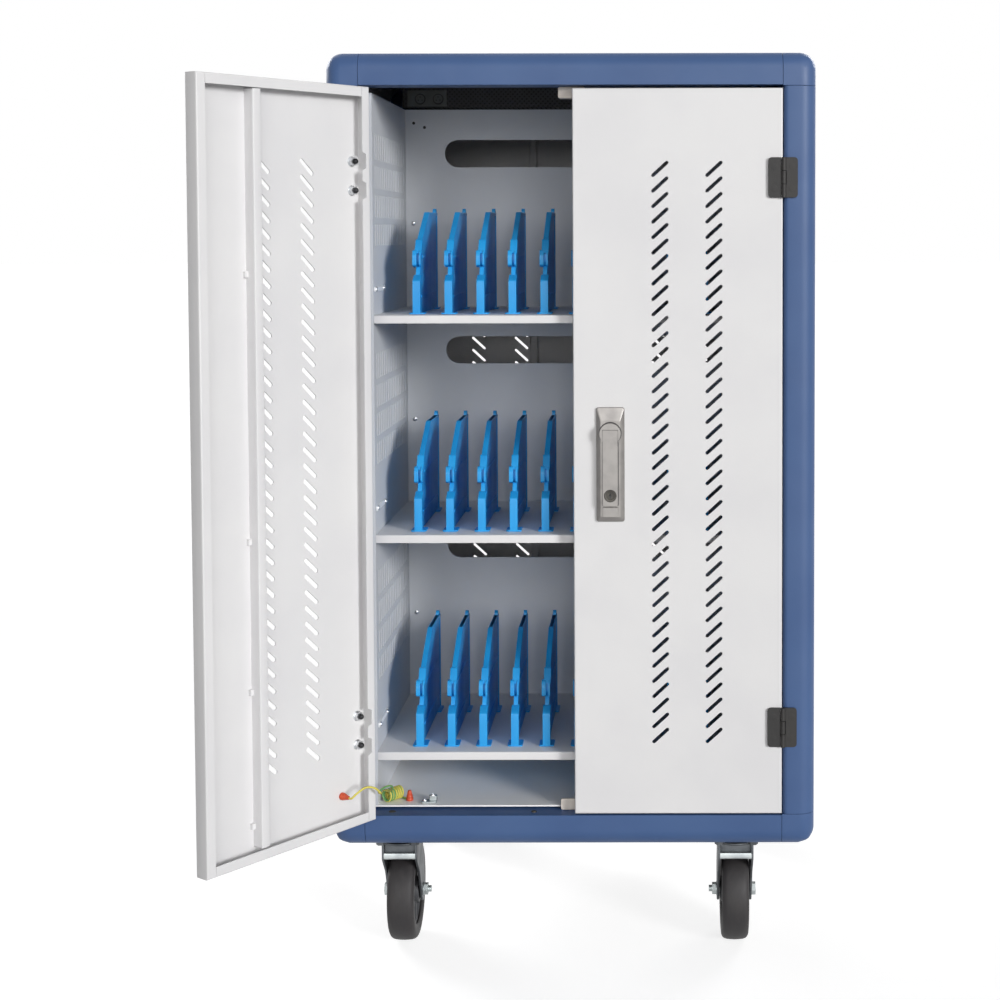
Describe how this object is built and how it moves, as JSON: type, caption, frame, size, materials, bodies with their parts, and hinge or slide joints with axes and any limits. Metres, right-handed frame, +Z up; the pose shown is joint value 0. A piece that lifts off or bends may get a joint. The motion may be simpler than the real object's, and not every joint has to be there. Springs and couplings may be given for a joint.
{
  "type": "laptop charging cart",
  "caption": "Steel laptop charging cart on swivel castors, with vented double doors front and rear, divided shelves and a swing-handle lock.",
  "frame": {"origin": "on the floor, under the middle of the cabinet", "axes": "+Z up, -Y out of the front doors, +X to the right seen from the front"},
  "size_m": [0.7116, 0.8138, 1.139],
  "materials": {
    "frame": "matte slate-blue powder coat",
    "sheet": "satin white powder coat",
    "door": "satin white powder coat, light orange peel",
    "divider": "moulded sky-blue plastic",
    "power_unit": "matte black",
    "hinge": "black cast",
    "lock": "satin cast zinc",
    "strike": "cream plastic",
    "castor": "bright zinc plate",
    "wheel": "matte dark grey rubber",
    "lead": "green and yellow sleeve",
    "boot": "orange-red soft plastic"
  },
  "bodies": {
    "cabinet": {"front_right_post": "frame", "front_left_post": "frame", "front_top_rail": "frame", "front_bottom_rail": "frame", "front_top_right_corner": "frame", "front_top_left_corner": "frame", "front_bottom_right_corner": "frame", "front_bottom_left_corner": "frame", "rear_right_post": "frame", "rear_left_post": "frame", "rear_top_rail": "frame", "rear_bottom_rail": "frame", "top_panel": "sheet", "right_side_panel": "sheet", "left_side_panel": "sheet", "base_box": "sheet", "right_inner_wall": "sheet", "left_inner_wall": "sheet", "back_partition": "sheet", "lower_shelf": "sheet", "middle_shelf": "sheet", "upper_shelf": "sheet", "lower_dividers": "divider", "middle_dividers": "divider", "upper_dividers": "divider", "power_unit": "power_unit", "upper_right_hinge_frame_leaf": "hinge", "upper_left_hinge_frame_leaf": "hinge", "lower_right_hinge_frame_leaf": "hinge", "lower_left_hinge_frame_leaf": "hinge", "upper_strike": "strike", "lower_strike": "strike", "front_left_castor_plate": "castor", "front_right_castor_plate": "castor", "rear_left_castor_plate": "castor", "rear_right_castor_plate": "castor", "earth_lead": "lead", "earth_lead_curls": "lead", "floor_earth_boot": "boot"},
    "left_door": {"left_door": "door", "upper_left_hinge_door_leaf": "hinge", "lower_left_hinge_door_leaf": "hinge", "door_earth_boot": "boot"},
    "right_door": {"right_door": "door", "upper_right_hinge_door_leaf": "hinge", "lower_right_hinge_door_leaf": "hinge", "lock_housing": "lock"},
    "rear_left_door": {"rear_left_door": "door"},
    "rear_right_door": {"rear_right_door": "door"},
    "lock_spindle": {"lock_spindle": "lock"},
    "lock_lever": {"lock_lever": "lock"},
    "key_cylinder": {"key_cylinder": "lock"},
    "front_left_fork": {"front_left_castor_fork": "castor"},
    "front_right_fork": {"front_right_castor_fork": "castor"},
    "rear_left_fork": {"rear_left_castor_fork": "castor"},
    "rear_right_fork": {"rear_right_castor_fork": "castor"},
    "front_left_wheel": {"front_left_castor_wheel": "wheel"},
    "front_right_wheel": {"front_right_castor_wheel": "wheel"},
    "rear_left_wheel": {"rear_left_castor_wheel": "wheel"},
    "rear_right_wheel": {"rear_right_castor_wheel": "wheel"}
  },
  "joints": [
    {"name": "left_door_swing", "type": "hinge", "parent": "cabinet", "child": "left_door", "pos_m": [-0.2597, -0.284, 0.647], "axis": [0, 0, -1], "range_deg": [-127, 53], "deforming": ["earth_lead"]},
    {"name": "right_door_swing", "type": "hinge", "parent": "cabinet", "child": "right_door", "pos_m": [0.2597, -0.284, 0.647], "axis": [0, 0, 1], "range_deg": [0, 180]},
    {"name": "rear_left_door_swing", "type": "hinge", "parent": "cabinet", "child": "rear_left_door", "pos_m": [-0.2465, 0.271, 0.647], "axis": [0, 0, 1], "range_deg": [0, 95]},
    {"name": "rear_right_door_swing", "type": "hinge", "parent": "cabinet", "child": "rear_right_door", "pos_m": [0.2465, 0.271, 0.647], "axis": [0, 0, -1], "range_deg": [0, 95]},
    {"name": "lock_spindle_turn", "type": "hinge", "parent": "right_door", "child": "lock_spindle", "pos_m": [0.0475, -0.288, 0.674], "axis": [0, -1, 0], "range_deg": [0, 90]},
    {"name": "lock_lever_lift", "type": "hinge", "parent": "lock_spindle", "child": "lock_lever", "pos_m": [0.0475, -0.2918, 0.668], "axis": [-1, 0, 0], "range_deg": [0, 35]},
    {"name": "key_cylinder_turn", "type": "hinge", "parent": "lock_lever", "child": "key_cylinder", "pos_m": [0.0475, -0.296, 0.598], "axis": [0, -1, 0], "range_deg": [0, 90]},
    {"name": "front_left_swivel", "type": "hinge", "parent": "cabinet", "child": "front_left_fork", "pos_m": [-0.224, -0.208, 0.145], "axis": [0, 0, 1], "continuous": true},
    {"name": "front_right_swivel", "type": "hinge", "parent": "cabinet", "child": "front_right_fork", "pos_m": [0.204, -0.208, 0.145], "axis": [0, 0, 1], "continuous": true},
    {"name": "rear_left_swivel", "type": "hinge", "parent": "cabinet", "child": "rear_left_fork", "pos_m": [-0.224, 0.208, 0.145], "axis": [0, 0, 1], "continuous": true},
    {"name": "rear_right_swivel", "type": "hinge", "parent": "cabinet", "child": "rear_right_fork", "pos_m": [0.204, 0.208, 0.145], "axis": [0, 0, 1], "continuous": true},
    {"name": "front_left_roll", "type": "hinge", "parent": "front_left_fork", "child": "front_left_wheel", "pos_m": [-0.224, -0.17, 0.0635], "axis": [1, 0, 0], "continuous": true},
    {"name": "front_right_roll", "type": "hinge", "parent": "front_right_fork", "child": "front_right_wheel", "pos_m": [0.204, -0.17, 0.0635], "axis": [1, 0, 0], "continuous": true},
    {"name": "rear_left_roll", "type": "hinge", "parent": "rear_left_fork", "child": "rear_left_wheel", "pos_m": [-0.224, 0.246, 0.0635], "axis": [1, 0, 0], "continuous": true},
    {"name": "rear_right_roll", "type": "hinge", "parent": "rear_right_fork", "child": "rear_right_wheel", "pos_m": [0.204, 0.246, 0.0635], "axis": [1, 0, 0], "continuous": true}
  ]
}
